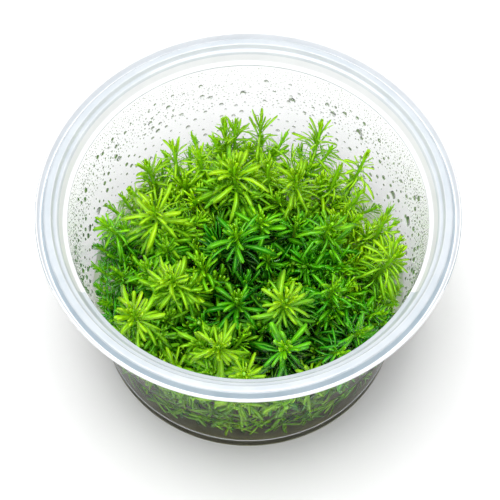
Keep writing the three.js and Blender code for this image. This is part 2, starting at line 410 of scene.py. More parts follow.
def cup_finish(face):
    """Which finish a face of the cup has, by place and facing; step, crease and foot are painted shade."""
    radius, height = face.center.xy.length, face.center.z
    outward = face.normal.xy.dot(face.center.xy) > 0
    at_front = face.center.y < FRONT
    on_bead_side = BEAD_OUTER < radius < GROOVE_INNER and height > GROOVE_FLOOR and outward
    on_lip_edge = radius > RIM_RADIUS - 0.25 * MM and height > LIP_SHOULDER
    on_step = STEP_RADIUS < radius < BEAD_INNER + 0.15 * MM and height > BEAD_UNDERSIDE
    on_low_step = LOW_STEP_INNER < radius < LOW_STEP_OUTER + 0.25 * MM and height > LOW_STEP_FOOT
    on_ledge = LEDGE_RADIUS < radius < LOW_STEP_OUTER and not outward
    # The step tone is painted shade: the bead's outer side, and the lip's edge away from the front
    if on_bead_side or on_lip_edge and not at_front:
        return "step"
    # The creases of the flange are painted shade
    if on_step or on_low_step:
        return "crease_shade"
    # Away from the front the ledge is milky; at the front it falls to the cloudy tone, painted shade
    if radius > BEAD_OUTER or on_ledge and not at_front:
        return "milky"
    if height > LEDGE_HEIGHT - 1.0 * MM or radius > LEDGE_RADIUS + 1.2 * MM:
        return "cloudy"
    # A thin greyer line along the top of the foot, painted shade
    if outward and FOOT_HEIGHT + 0.05 * MM < height < FOOT_HEIGHT + 0.5 * MM:
        return "crease_shade"
    # The foot and the floor take the foot tone, painted shade for the gel and underside seen through
    if height < FOOT_HEIGHT and outward or height < FLOOR_TOP + 0.1 * MM:
        return "foot"
    if height > GEL_TOP + 1.0 * MM and not outward and not at_front:
        return "misted"
    return "clear"


cup = turned("culture_cup", rounded(cup_outline, 0.2 * MM, steps=3, hold=0.08 * MM), plastics)
for face in cup.data.polygons:
    face.material_index = FINISHES.index(cup_finish(face))
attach(cup, "root")
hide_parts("cup")
print("cup faces:", len(cup.data.polygons))

# %% [markdown]
# ## Gel
# The gel was poured in warm, so it fills the cup to the wall and climbs it by a hair. The
# body is turned like the cup. Its side reaches a little way into the plastic: with a gap there,
# light would meet a film of air that the real cup doesn't have. Its open surface, outside the
# middle and away from the front, is a pale opaque sheet: painted light, for the white table seen
# lit through the gel, which shows as pale spots between the stems. Below that it is clear, and
# takes some of the light on the way through, which volume absorption gives: a long way through
# the gel is darker than a short one. Its index is low for the same reason as the wall's.

# %% Gel
GEL_INTO_WALL = 0.15 * MM
GEL_EDGE = inner_radius(GEL_TOP)
MENISCUS = 0.9 * MM
PAINTED_LIGHT_INNER = 22 * MM
PAINTED_LIGHT_FRONT = -12 * MM
GEL_IOR = 1.08
GEL_PASSES = (0.35, 0.4, 0.05, 1)
GEL_DENSITY = 28.0


def gel_material(name, passing, roughness, deep, pale):
    """Gel in two tones with a faintly rippled surface. It absorbs light over its depth."""
    made, tree, shader = new_material(name)
    shader.inputs["Transmission Weight"].default_value = passing
    shader.inputs["IOR"].default_value = GEL_IOR
    shader.inputs["Roughness"].default_value = roughness
    place = out(add(tree, "ShaderNodeTexCoord"), "Object")
    ripples = out(add(tree, "ShaderNodeTexNoise", {"Vector": place, "Scale": 90.0, "Detail": 2.0}))
    absorbing = add(tree, "ShaderNodeVolumeAbsorption", {"Color": GEL_PASSES, "Density": GEL_DENSITY})
    tree.links.new(out(absorbing), tree.nodes["Material Output"].inputs["Volume"])
    tree.links.new(ramp(tree, ripples, [(0.35, deep), (0.65, pale)]), shader.inputs["Base Color"])
    bump = add(tree, "ShaderNodeBump", {"Height": ripples, "Strength": 0.15, "Distance": 0.5 * MM})
    tree.links.new(out(bump), shader.inputs["Normal"])
    return made


gel_clear = gel_material("gel_clear", 1.0, 0.03, (0.94, 0.95, 0.88, 1), (0.99, 0.99, 0.95, 1))
# The pale opaque top is painted light: the white table seen lit through the gel
gel_painted_light = gel_material("gel_painted_light", 0.0, 0.25, (0.9, 0.91, 0.8, 1), (0.97, 0.97, 0.88, 1))

gel_outline = [
    (0.0, FLOOR_TOP - GEL_INTO_WALL),
    (FLOOR_FLAT, FLOOR_TOP - GEL_INTO_WALL),
    (inner_radius(FLOOR_BEVEL_TOP) + GEL_INTO_WALL, FLOOR_BEVEL_TOP),
    (inner_radius(GEL_TOP + MENISCUS) + GEL_INTO_WALL, GEL_TOP + MENISCUS),
    (GEL_EDGE - 0.25 * MM, GEL_TOP + 0.45 * MENISCUS),
    (GEL_EDGE - 0.9 * MM, GEL_TOP + 0.1 * MENISCUS),
    (GEL_EDGE - 2.2 * MM, GEL_TOP),
    (PAINTED_LIGHT_INNER, GEL_TOP),
    (0.0, GEL_TOP),
]
gel = turned("nutrient_gel_fill", rounded(gel_outline, 0.2 * MM), [gel_clear, gel_painted_light])
# Outer top faces away from the front take the pale painted light
for face in gel.data.polygons:
    on_top = face.normal.z > 0.3
    face.material_index = int(on_top and face.center.xy.length > PAINTED_LIGHT_INNER and face.center.y > PAINTED_LIGHT_FRONT)
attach(gel, "root")
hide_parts("nutrient_gel")
print("gel faces:", len(gel.data.polygons))

# %% [markdown]
# ## Leaf and stem finishes
# Leaves are yellow-green while they open at the tip, and turn deep green further down. Each
# leaf carries a number, its age, and a tint of its own, and the colour is read from those.
# Across the blade a paler midrib shows, drawn as a pale stripe that is partly the midrib's own
# colour and partly a painted highlight, the sheen along the blade. A little light passes through
# the thin blade, which subsurface scattering gives. There are two leaf finishes: a lighter copy,
# painted light, for the brightly lit shoots, and the deep green one for the rest. Stems are
# green at the tip and olive to reddish near the gel.


# %% Leaf and stem finishes
LEAF_AGES = (0.0, 0.12, 0.26, 0.45, 0.7, 1.0)
GREEN_LEAF = ((182, 250, 2), (160, 242, 4), (122, 222, 10), (74, 190, 10), (14, 118, 2), (2, 60, 0))
# A lighter copy of the leaf colours: painted light for brightly lit shoots
PAINTED_LIGHT_LEAF = ((196, 252, 4), (188, 248, 14), (172, 240, 28), (130, 216, 28), (58, 152, 10), (12, 84, 2))
STEM_AGES = (0.0, 0.25, 0.6, 1.0)
STEM = ((170, 240, 20), (130, 190, 26), (112, 134, 30), (132, 84, 40))
# The midrib's pale colour, partly a painted highlight along the blade
MIDRIB_SHEEN = (160, 224, 60)


def plant_material(name, ages, colours, roughness, midrib_sheen):
    """A plant surface that takes its colours by age, mottled a little and varied by tint."""
    made, tree, shader = new_material(name)
    age = out(add(tree, "ShaderNodeAttribute", attribute_name="age"), "Fac")
    tint = out(add(tree, "ShaderNodeAttribute", attribute_name="tint"), "Fac")
    place = out(add(tree, "ShaderNodeTexCoord"), "Object")
    mottle = out(add(tree, "ShaderNodeTexNoise", {"Vector": place, "Scale": 900.0, "Detail": 3.0}))
    drift = calculate(tree, "MULTIPLY_ADD", mottle, 0.24, -0.12)
    stops = [(stop, linear(*colour)) for stop, colour in zip(ages, colours)]
    colour = ramp(tree, calculate(tree, "ADD", age, drift), stops)
    # A pale stripe along the middle: the midrib, partly painted highlight
    if midrib_sheen:
        across = out(add(tree, "ShaderNodeSeparateXYZ", {0: out(add(tree, "ShaderNodeUVMap"))}), "X")
        off_middle = calculate(tree, "ABSOLUTE", calculate(tree, "SUBTRACT", across, 0.5))
        rib_sheen_share = span(tree, off_middle, 0.05, 0.3, 0.3, 0.0)
        paler = {"Factor": rib_sheen_share, "A": colour, "B": linear(*MIDRIB_SHEEN)}
        colour = out(add(tree, "ShaderNodeMix", paler, data_type="RGBA"))
    value = span(tree, tint, 0.0, 1.0, 0.7, 1.2)
    hue = span(tree, tint, 0.0, 1.0, 0.514, 0.5)
    shifted = add(tree, "ShaderNodeHueSaturation", {"Hue": hue, "Value": value, "Color": colour})
    tree.links.new(out(shifted), shader.inputs["Base Color"])
    uneven = span(tree, mottle, 0.3, 0.7, roughness - 0.08, roughness + 0.1)
    tree.links.new(uneven, shader.inputs["Roughness"])
    bump = add(tree, "ShaderNodeBump", {"Height": mottle, "Strength": 0.25, "Distance": 0.1 * MM})
    tree.links.new(out(bump), shader.inputs["Normal"])
    shader.inputs["Specular IOR Level"].default_value = 0.6
    shader.inputs["Subsurface Weight"].default_value = 0.12
    shader.inputs["Subsurface Radius"].default_value = (1.0, 1.0, 0.5)
    shader.inputs["Subsurface Scale"].default_value = 0.12 * MM
    return made


leaf_green = plant_material("leaf_green", LEAF_AGES, GREEN_LEAF, 0.26, midrib_sheen=True)
leaf_painted_light = plant_material("leaf_painted_light", LEAF_AGES, PAINTED_LIGHT_LEAF, 0.26, midrib_sheen=True)
stem_green = plant_material("stem_green", STEM_AGES, STEM, 0.42, midrib_sheen=False)
print("leaf and stem finishes:", leaf_green.name, leaf_painted_light.name, stem_green.name)

# %% [markdown]
# ## One leaf
# A leaf is a narrow blade, slim at its foot, widest past the middle and blunt at the tip, flat
# above and keeled below. Two dozen triangles are enough, because it is repeated thousands of
# times. Four forms are made, from the young leaf that hugs the bud to the old one that arches
# over, and each has length 1 until it is placed.

# %% Leaf forms
LEAF_HALF_WIDTH = 0.08
LEAF_KEEL = 0.032
# Along the blade from foot to tip: share of the length, share of the half width
LEAF_OUTLINE = ((0.0, 0.38), (0.28, 0.62), (0.56, 0.92), (0.82, 1.0), (0.96, 0.72))
# From the youngest form to the oldest: lift, fall and sway, as shares of the length
LEAF_BENDS = ((0.0, -0.12, 0.0), (0.28, 0.44, 0.2), (0.46, 0.86, -0.26), (0.5, 1.15, 0.28))


def leaf_form(name, lift, fall, sway):
    """A blade along +X, one unit long. It climbs by lift, then drops by fall and sways aside."""
    points, uvs = [], []

    def spine(share):
        return Vector((share, sway * share**2, lift * share - fall * share**2))

    for share, breadth in LEAF_OUTLINE:
        width = LEAF_HALF_WIDTH * breadth
        for across, drop in ((-1, 0), (1, 0), (0, -LEAF_KEEL)):
            points.append(spine(share) + Vector((0, across * width, drop * breadth)))
            uvs.append((0.5 + across / 2, share))
    points.append(spine(1.0))
    uvs.append((0.5, 1.0))
    faces = [(0, 1, 2)]
    for row in range(len(LEAF_OUTLINE)):
        for k in range(3):
            a, b = 3 * row + k, 3 * row + (k + 1) % 3
            is_last = row == len(LEAF_OUTLINE) - 1
            faces.append((a, len(points) - 1, b) if is_last else (a, a + 3, b + 3, b))
    blade = new_body(name, points, faces)
    layer = blade.data.uv_layers.new(name="UVMap")
    for loop in blade.data.loops:
        layer.data[loop.index].uv = uvs[loop.vertex_index]
    return blade


leaf_forms = bpy.data.collections.new("leaf_forms")
for number, bends in enumerate(LEAF_BENDS):
    leaf_forms.objects.link(leaf_form(f"leaf_form_{number}", *bends))

# %% [markdown]
# ## Trees of Geometry Nodes
# Two trees are built below, for the shoots and for the droplets. Each starts with named inputs,
# and is run on a carrier object: a stem line or a strip of wall. A modifier's inputs are set by
# their sockets' identifiers. The result is taken as a plain mesh, and the carrier goes.


# %% Tree helpers
def new_tree(name, inputs):
    """An empty tree, its input sockets by name, and the outputs that hand their values on."""
    tree = bpy.data.node_groups.new(name, "GeometryNodeTree")
    tree.interface.new_socket("Geometry", in_out="OUTPUT", socket_type="NodeSocketGeometry")
    sockets = {}
    for key, kind in inputs.items():
        sockets[key] = tree.interface.new_socket(key, in_out="INPUT", socket_type="NodeSocket" + kind)
    return tree, sockets, tree.nodes.new("NodeGroupInput").outputs


def finish_tree(tree, result):
    """Hands the result to the tree's output."""
    tree.links.new(result, tree.nodes.new("NodeGroupOutput").inputs["Geometry"])


def run_tree(carrier, tree, sockets, values, name):
    """Runs a tree on an object, and gives the result back as a plain mesh in the scene."""
    modifier = into_scene(carrier).modifiers.new(tree.name, "NODES")
    modifier.node_group = tree
    for key, value in values.items():
        modifier[sockets[key].identifier] = value
    bpy.context.view_layer.update()
    mesh = bpy.data.meshes.new_from_object(carrier.evaluated_get(bpy.context.evaluated_depsgraph_get()))
    bpy.data.objects.remove(carrier)
    mesh.name = name
    return into_scene(bpy.data.objects.new(name, mesh))


def triangle_count(piece):
    return sum(len(face.vertices) - 2 for face in piece.data.polygons)


# %% [markdown]
# ## Growing a shoot
# Leaves stand in whorls, each whorl turned against the next, close together at the tip and
# further apart below. That is a rule, so Geometry Nodes grow the shoot from its stem line: a
# number for every leaf gives its whorl, its distance below the tip and its bearing, and a leaf
# form is set there, steep and short near the tip, level and long further down. A leaf that
# would reach through the cup's wall or floor is cut back or left out.

# %% The shoot tree
FLOATS = (
    "First Gap", "Gap Growth", "Leaf Length", "Old Below Tip", "Bud Lift", "Leaf Breadth",
    "Stem Radius", "Wall At Table", "Wall Slope", "Floor Height",
)
SHOOT_INPUTS = {
    "Stem Line": "Geometry",
    "Leaf Forms": "Collection",
    "Leaf Material": "Material",
    "Stem Material": "Material",
    "Whorls": "Int",
    "Leaves In Whorl": "Int",
    "Seed": "Int",
    **dict.fromkeys(FLOATS, "Float"),
}
WHORL_TURN = 0.39
# How far below the tip a bud's leaves end, the next ones begin to open and are open, and the
# blades arch fully and are old
BUD_END = 3.2 * MM
OPENING_FROM = 2.6 * MM
OPEN_AT = 8 * MM
ARCHED_AT = 10 * MM
OLD_AT = 24 * MM
BUD_OPENS_BY = math.radians(26)
SINKS_BY = math.radians(-34)
# Where the leaf forms end and arch, as shares of the length, and the play that is let pass
TIP_SWAY = 0.28
TIP_HEIGHTS = (0.12, -0.65)
ARCH_HEIGHTS = (0.0, 0.12)
WALL_PLAY = 0.15 * MM
SHORTEST_LINE = 0.4 * MM


def build_shoot_tree():
    tree, sockets, given = new_tree("shoot", SHOOT_INPUTS)
    line = given["Stem Line"]

    def maths(operation, *values):
        return calculate(tree, operation, *values)

    def integer(operation, a, b):
        return out(add(tree, "FunctionNodeIntegerMath", {0: a, 1: b}, operation=operation))

    def vector(operation, a, b):
        second = "Scale" if operation == "SCALE" else 1
        return out(add(tree, "ShaderNodeVectorMath", {0: a, second: b}, operation=operation))

    def combined(**axes):
        return out(add(tree, "ShaderNodeCombineXYZ", axes))

    def split(point, axis):
        return out(add(tree, "ShaderNodeSeparateXYZ", {0: point}), axis)

    def chance(low, high, salt):
        seed = integer("ADD", given["Seed"], salt)
        return out(add(tree, "FunctionNodeRandomValue", {"Min": low, "Max": high, "Seed": seed}))

    def between(value, start, end, at_start, at_end):
        return span(tree, value, start, end, at_start, at_end, interpolation_type="SMOOTHSTEP")

    def store(geometry, name, value):
        feeds = {"Geometry": geometry, "Name": name, "Value": value}
        return out(add(tree, "GeometryNodeStoreNamedAttribute", feeds, data_type="FLOAT", domain="POINT"))

    def painted(geometry, material):
        return out(add(tree, "GeometryNodeSetMaterial", {"Geometry": geometry, "Material": material}))

    # Which leaf is it: its stem line, its whorl and its place in the whorl
    lines = out(add(tree, "GeometryNodeAttributeDomainSize", {0: line}, component="CURVE"), "Spline Count")
    on_line = integer("MULTIPLY", given["Whorls"], given["Leaves In Whorl"])
    leaf_points = add(tree, "GeometryNodePoints", {"Count": integer("MULTIPLY", lines, on_line)})
    index = out(add(tree, "GeometryNodeInputIndex"))
    line_number = integer("DIVIDE_FLOOR", index, on_line)
    leaf_number = integer("MODULO", index, on_line)
    whorl = integer("DIVIDE_FLOOR", leaf_number, given["Leaves In Whorl"])
    in_whorl = integer("MODULO", leaf_number, given["Leaves In Whorl"])

    # Where it grows: distance below the tip, then the place and heading of the stem there
    growth = maths("MULTIPLY_ADD", given["Gap Growth"], whorl, given["First Gap"])
    below = maths("MULTIPLY_ADD", growth, whorl, chance(-0.15 * MM, 0.25 * MM, 1))
    whole = out(add(tree, "GeometryNodeSplineLength"))
    whole_feeds = {"Geometry": line, "Value": whole, "Index": line_number}
    line_length = out(add(tree, "GeometryNodeSampleIndex", whole_feeds, domain="CURVE"))
    along = maths("SUBTRACT", line_length, below)
    vigour_there = out(add(tree, "GeometryNodeInputRadius"))
    feeds = {"Curves": line, "Value": vigour_there, "Length": along, "Curve Index": line_number}
    sample = add(tree, "GeometryNodeSampleCurve", feeds, mode="LENGTH", use_all_curves=False)
    heading, vigour = out(sample, "Tangent"), out(sample, "Value")

    # Which way it points: outward at its bearing, and raised above square to the stem
    share_of_turn = maths("DIVIDE", in_whorl, given["Leaves In Whorl"])
    turns = maths("ADD", share_of_turn, maths("MULTIPLY", whorl, WHORL_TURN))
    bearing = maths("MULTIPLY", maths("ADD", turns, chance(-0.075, 0.075, 2)), 2 * math.pi)
    spun = {"Vector": out(sample, "Normal"), "Axis": heading, "Angle": bearing}
    outward = out(add(tree, "ShaderNodeVectorRotate", spun, rotation_type="AXIS_ANGLE"))
    open_lift = maths("SUBTRACT", given["Bud Lift"], BUD_OPENS_BY)
    bud = between(below, 0.0, BUD_END, given["Bud Lift"], open_lift)
    opening = between(below, OPENING_FROM, OPEN_AT, 0.0, SINKS_BY)
    ageing = between(below, OPEN_AT, OLD_AT, 0.0, SINKS_BY)
    lean = maths("ADD", maths("ADD", bud, opening), ageing)
    rise = maths("ADD", lean, chance(-0.34, 0.34, 3))
    flatwise, steep = maths("COSINE", rise), maths("SINE", rise)
    blade = vector("ADD", vector("SCALE", outward, flatwise), vector("SCALE", heading, steep))
    face = vector("SUBTRACT", vector("SCALE", heading, flatwise), vector("SCALE", outward, steep))
    axes = {"Primary Axis": blade, "Secondary Axis": face}
    turn = out(add(tree, "FunctionNodeAxesToRotation", axes, primary_axis="X", secondary_axis="Z"))
    roll = out(add(tree, "FunctionNodeEulerToRotation", {0: combined(X=chance(-0.5, 0.5, 8))}))
    turn = out(add(tree, "FunctionNodeRotateRotation", {0: turn, 1: roll}, rotation_space="LOCAL"))

    def past_wall(point):
        """How far a point is past the clear space inside the wall, negative where it is within."""
        squares = [maths("POWER", split(point, axis), 2.0) for axis in "XY"]
        wall = maths("MULTIPLY_ADD", given["Wall Slope"], split(point, "Z"), given["Wall At Table"])
        return maths("SUBTRACT", maths("SQRT", maths("ADD", *squares)), wall)

    # How long it is: short at the tip, and cut back where it would reach the cup's wall
    grown = between(below, 0.0, 5.5 * MM, 0.4, 1.0)
    size = maths("MULTIPLY", maths("MULTIPLY", grown, chance(0.6, 1.15, 4)), vigour)
    length = maths("MULTIPLY", size, given["Leaf Length"])
    stem_side = vector("SCALE", outward, maths("MULTIPLY", given["Stem Radius"], 0.6))
    start = vector("ADD", out(sample, "Position"), stem_side)
    excess = maths("MAXIMUM", past_wall(vector("ADD", start, vector("SCALE", blade, length))), 0.0)
    fitted = maths("MAXIMUM", maths("SUBTRACT", length, excess), maths("MULTIPLY", length, 0.3))
    young = between(below, 0.0, 5 * MM, 1.6, 1.0)
    breadth = maths("MULTIPLY", fitted, maths("MULTIPLY", young, chance(0.85, 1.15, 7)))
    breadth = maths("MULTIPLY", breadth, given["Leaf Breadth"])

    # Which leaves there is room for: none whose arch or drooping end would pass the wall or floor
    def on_leaf(share, aside, rise):
        """A point on the leaf, by its shares along the blade, to the side and square to it."""
        shares = {"X": (fitted, share), "Y": (breadth, aside), "Z": (fitted, rise)}
        local = combined(**{axis: maths("MULTIPLY", *pair) for axis, pair in shares.items()})
        return vector("ADD", start, out(add(tree, "FunctionNodeRotateVector", {0: local, 1: turn})))

    droop = between(below, 0.0, ARCHED_AT, *TIP_HEIGHTS)
    swayed = [on_leaf(1.0, aside, droop) for aside in (-TIP_SWAY, TIP_SWAY)]
    arched = on_leaf(0.5, 0.0, between(below, 0.0, ARCHED_AT, *ARCH_HEIGHTS))
    most = maths("MAXIMUM", past_wall(swayed[0]), past_wall(swayed[1]))
    most = maths("MAXIMUM", most, past_wall(arched))
    lowest = maths("MINIMUM", *(split(point, "Z") for point in swayed))
    chosen = True
    for a, b in ((lowest, given["Floor Height"]), (along, SHORTEST_LINE), (WALL_PLAY, most)):
        passed = out(add(tree, "FunctionNodeCompare", {0: a, 1: b}, operation="GREATER_THAN"))
        chosen = out(add(tree, "FunctionNodeBooleanMath", {0: chosen, 1: passed}, operation="AND"))

    # Set the leaves and give each its age and tint. Weak side shoots are aged further, which darkens them:
    # painted shade between the main rosettes
    placed = out(add(tree, "GeometryNodeSetPosition", {"Geometry": out(leaf_points), "Position": start}))
    is_side = maths("MINIMUM", line_number, 1.0)
    side_shade_offset = between(vigour, 0.9, 1.3, 8 * MM, 0.5 * MM)
    distance = maths("MAXIMUM", maths("MULTIPLY_ADD", is_side, side_shade_offset, below), 0.0)
    age = maths("MINIMUM", maths("DIVIDE", distance, given["Old Below Tip"]), 1.0)
    feeds = {"Min": 0.0, "Max": 1.0, "ID": line_number, "Seed": given["Seed"]}
    by_line = out(add(tree, "FunctionNodeRandomValue", feeds))
    placed = store(placed, "age", age)
    placed = store(placed, "tint", maths("MULTIPLY_ADD", by_line, 0.6, chance(0.0, 0.4, 5)))
    source = {"Collection": given["Leaf Forms"], "Separate Children": True}
    forms = add(tree, "GeometryNodeCollectionInfo", source)
    form = maths("ADD", between(below, 0.0, ARCHED_AT, 0.0, 2.6), chance(-0.2, 1.0, 6))
    feeds = {
        "Points": placed,
        "Selection": chosen,
        "Instance": out(forms),
        "Pick Instance": True,
        "Instance Index": maths("FLOOR", maths("MAXIMUM", form, 0.0)),
        "Rotation": turn,
        "Scale": combined(X=fitted, Y=breadth, Z=fitted),
    }
    leaves = out(add(tree, "GeometryNodeInstanceOnPoints", feeds))
    leaves = painted(leaves, given["Leaf Material"])

    # The stem is the line given thickness, with its own age along it
    to_tip = maths("SUBTRACT", whole, out(add(tree, "GeometryNodeSplineParameter"), "Length"))
    stem_age = maths("MINIMUM", maths("DIVIDE", to_tip, given["Old Below Tip"]), 1.0)
    aged = store(store(line, "age", stem_age), "tint", 0.5)
    taper = between(to_tip, 0.0, 7 * MM, 0.1, 1.0)
    girth = maths("MULTIPLY", maths("MINIMUM", vigour_there, 1.0), taper)
    aged = out(add(tree, "GeometryNodeSetCurveRadius", {"Curve": aged, "Radius": girth}))
    circle = add(tree, "GeometryNodeCurvePrimitiveCircle", {"Resolution": 7, "Radius": given["Stem Radius"]})
    tube = {"Curve": aged, "Profile Curve": out(circle), "Fill Caps": True}
    stem = out(add(tree, "GeometryNodeCurveToMesh", tube))
    stem = out(add(tree, "GeometryNodeSetShadeSmooth", {"Geometry": stem}))
    stem = painted(stem, given["Stem Material"])

    together = add(tree, "GeometryNodeJoinGeometry")
    tree.links.new(stem, together.inputs[0])
    tree.links.new(leaves, together.inputs[0])
    finish_tree(tree, out(add(tree, "GeometryNodeRealizeInstances", {"Geometry": out(together)})))
    return tree, sockets


shoot_tree, shoot_sockets = build_shoot_tree()
print("shoot tree nodes:", len(shoot_tree.nodes))

# %% [markdown]
# ## Stem lines
# Each stem follows its own solid: it stands upright in the gel, then leans out to the tip. The
# solid's lowest corners give the foot, and the middle of its topmost corners lies on the stem
# just under the bud. How far the solid's lowest whorl reaches from the stem gives the length
# of a grown leaf. Stems that have grown for weeks also carry side shoots from near the gel, and
# these close the mound between the main tips. Their places are spread like the seeds of a
# sunflower, which fills a round evenly without rows, and each belongs to the nearest main stem.
# Others stand in rings along the wall, and some start in the gel and climb the front wall, where
# they are seen through the plastic. The places of those come from the photograph.

# %% Places of the side shoots
SIDE_SHOOTS = 180
GOLDEN_TURN = math.radians(137.508)
MOUND_RADIUS = 38.5 * MM
MOUND_BACK = 36 * MM
BACK_FROM = 18 * MM
SIDES_FROM = -20 * MM
SIDE_WALL = 32 * MM
# Leaf lengths at the side walls, in the mound and at the front wall, and how far a side shoot
# ends below the main tip, at the back and elsewhere, all in millimetres
SHORT_LEAVES = (3.5, 5.0)
MOUND_LEAVES = (6.0, 8.5)
FRONT_LEAVES = (6.5, 9.5)
LOWER_AT_BACK = (3, 10)
LOWER = (6, 16)
# Rings of side shoots that lean on the wall: distance from the axis and height in millimetres,
# first bearing and bearing step in degrees, and number. They leave out the back, where the
# photograph shows a bare strip
WALL_RINGS = (
    (38.2, 24.5, -189.1, 9.5, 7),
    (38.2, 24.5, -46.6, 9.5, 6),
    (34.3, 25.0, -150.0, 10.0, 13),
    (37.4, 20.5, -200.0, 8.0, 9),
    (37.4, 20.5, -48.0, 8.0, 9),
    (38.6, 31.0, 158.0, 8.5, 8),
    (38.6, 31.0, -38.0, 8.5, 8),
)
# Side shoots in places of their own, with their leaf length, all in millimetres: two in the
# middle, and those that climb the front wall
LONE_SIDE_SHOOTS = ((-9, 8, 33, 7), (-14, 14, 33, 7))
WALL_SHOOTS = (
    (-16.7, -34.2, 19, 9),
    (-2.7, -38.6, 25, 9.5),
    (9.3, -37.2, 22, 9.5),
    (-25.4, -28.5, 16, 8.5),
    (23, -30, 15, 8.5),
    (-9.8, -36.6, 14, 8),
    (3.3, -37.4, 13, 8),
    (15, -34.2, 13, 8),
    (-20, -31.5, 11, 7.5),
    (29, -23.5, 16, 7.5),
    (-31, -21.5, 15, 7.5),
    (-4.5, -36.6, 10, 7),
    (9, -35.6, 10, 7),
)
WALL_OWNERS = ("shoot_36", "shoot_37", "shoot_39", "shoot_42")
TOP_SLICE = 4 * MM
BUD_ABOVE_MIDDLE = 0.5 * MM


def stem_ends(node):
    """A shoot's foot, the place where it leaves the gel, its tip, and its leaves' reach."""
    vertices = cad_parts[node].data.vertices
    corners = sorted({tuple(round(c, 5) for c in v.co) for v in vertices}, key=lambda c: c[2])
    lowest = [Vector(c) for c in corners if c[2] < corners[0][2] + 0.5 * MM]
    topmost = [Vector(c) for c in corners if c[2] > corners[-1][2] - TOP_SLICE]
    foot = sum(lowest, Vector()) / len(lowest)
    middle = sum(topmost, Vector()) / len(topmost)
    root = Vector((foot.x, foot.y, GEL_TOP))
    heading = (middle - root).normalized()
    reach = max(((Vector(c) - root).cross(heading)).length for c in corners if c[2] > GEL_TOP + 1 * MM)
    return foot, root, middle + heading * BUD_ABOVE_MIDDLE, reach


ends = {name: stem_ends(name) for name in shoot_names}
side_tips = {name: [] for name in shoot_names}
wall_tips = {name: [] for name in shoot_names}


def nearest_shoot(place, names=shoot_names):
    """The shoot, of those named, whose stem line passes nearest from gel to tip."""
    return min(names, key=lambda name: ((ends[name][1] + ends[name][2]) / 2 - place).xy.length)


rng = random.Random(5)
for number in range(SIDE_SHOOTS):
    place = polar(MOUND_RADIUS * math.sqrt((number + 0.5) / SIDE_SHOOTS), number * GOLDEN_TURN)
    place += Vector((rng.uniform(-1.5, 1.5), rng.uniform(-1.5, 1.5), 0)) * MM
    owner = nearest_shoot(place)
    lower = rng.uniform(*(LOWER_AT_BACK if place.y > BACK_FROM else LOWER))
    place.z = max(GEL_TOP + 6 * MM, ends[owner][2].z - lower * MM)
    at_side_wall = place.xy.length > SIDE_WALL and place.y > SIDES_FROM
    leaf_length = rng.uniform(*(SHORT_LEAVES if at_side_wall else MOUND_LEAVES))
    if place.y < MOUND_BACK:
        side_tips[owner].append((place, leaf_length * MM))
for radius, height, first, step, count in WALL_RINGS:
    for number in range(count):
        bearing = math.radians(first + step * number + rng.uniform(-1.5, 1.5))
        place = polar(radius * MM, bearing, height * MM)
        place.z += rng.uniform(-1, 1) * MM
        leaf_length = rng.uniform(*(SHORT_LEAVES if place.y > SIDES_FROM else FRONT_LEAVES))
        side_tips[nearest_shoot(place)].append((place, leaf_length * MM))
for *place, leaf_length in LONE_SIDE_SHOOTS:
    place = Vector(place) * MM
    side_tips[nearest_shoot(place)].append((place, leaf_length * MM))
for *place, leaf_length in WALL_SHOOTS:
    place = Vector(place) * MM
    wall_tips[nearest_shoot(place, WALL_OWNERS)].append((place, leaf_length * MM))
print("side shoots:", sum(map(len, side_tips.values())), "and on the front wall:", len(WALL_SHOOTS))

# %% Stem lines
MAIN_POINTS = 8
SIDE_POINTS = 6
# How far a main line bows, in millimetres
MAIN_BOW = 0.9


def bowed(start, end, bow, count):
    """Points from start to end on a gentle arc."""
    shares = [i / (count - 1) for i in range(count)]
    return [start.lerp(end, s) + bow * math.sin(math.pi * s) for s in shares]


def side_line(start, end):
    """A side shoot's line: it leaves the stem sideways and then turns up to its tip."""
    outward = (end - start).normalized()
    sag = Vector((outward.x, outward.y, -0.8)) * 1.2 * MM
    return bowed(start, end, sag, SIDE_POINTS)


def wall_line(start, end):
    """A line that runs through the gel, climbs near the wall and turns out to it at the tip."""
    knee = Vector((end.x * 0.86, end.y * 0.86, max(start.z, end.z - 9 * MM)))
    bend = Vector((end.x * 0.92, end.y * 0.92, end.z - 3 * MM))
    return [start, start.lerp(knee, 0.6), knee, knee.lerp(bend, 0.6), bend, end]


def stem_curve(name, rng):
    """A curve of all the lines of one shoot. Each carries its vigour as its radius."""
    foot, root, tip, reach = ends[name]
    bow = Vector((rng.uniform(-1, 1), rng.uniform(-1, 1), 0)) * MAIN_BOW * MM
    main = [foot] + bowed(root, tip, bow, MAIN_POINTS)
    splines = [(main, 1.0)]
    for side_tip, leaf_length in side_tips[name]:
        start = main[1].lerp(main[4], rng.random())
        start.z = min(start.z, side_tip.z - 3 * MM)
        splines.append((side_line(start, side_tip), leaf_length / reach))
    for wall_tip, leaf_length in wall_tips[name]:
        splines.append((wall_line(foot.lerp(root, 0.15), wall_tip), leaf_length / reach))
    curve = bpy.data.curves.new(name + "_line", "CURVE")
    curve.dimensions = "3D"
    for points, vigour in splines:
        spline = curve.splines.new("POLY")
        spline.points.add(len(points) - 1)
        for point, place in zip(spline.points, points):
            point.co = (*place, 1)
            point.radius = vigour
    return bpy.data.objects.new(name + "_line", curve)


# %% [markdown]
# Most shoots take the depth at which their leaves are old from where they stand: in the front
# they darken soon, which is painted shade, and at the back and at the sides they stay light,
# which is painted light. Those that the photograph shows otherwise have a value of their own,
# also painted light and shade. The shoots of the last row are seen from the side, so their buds
# stand closed.

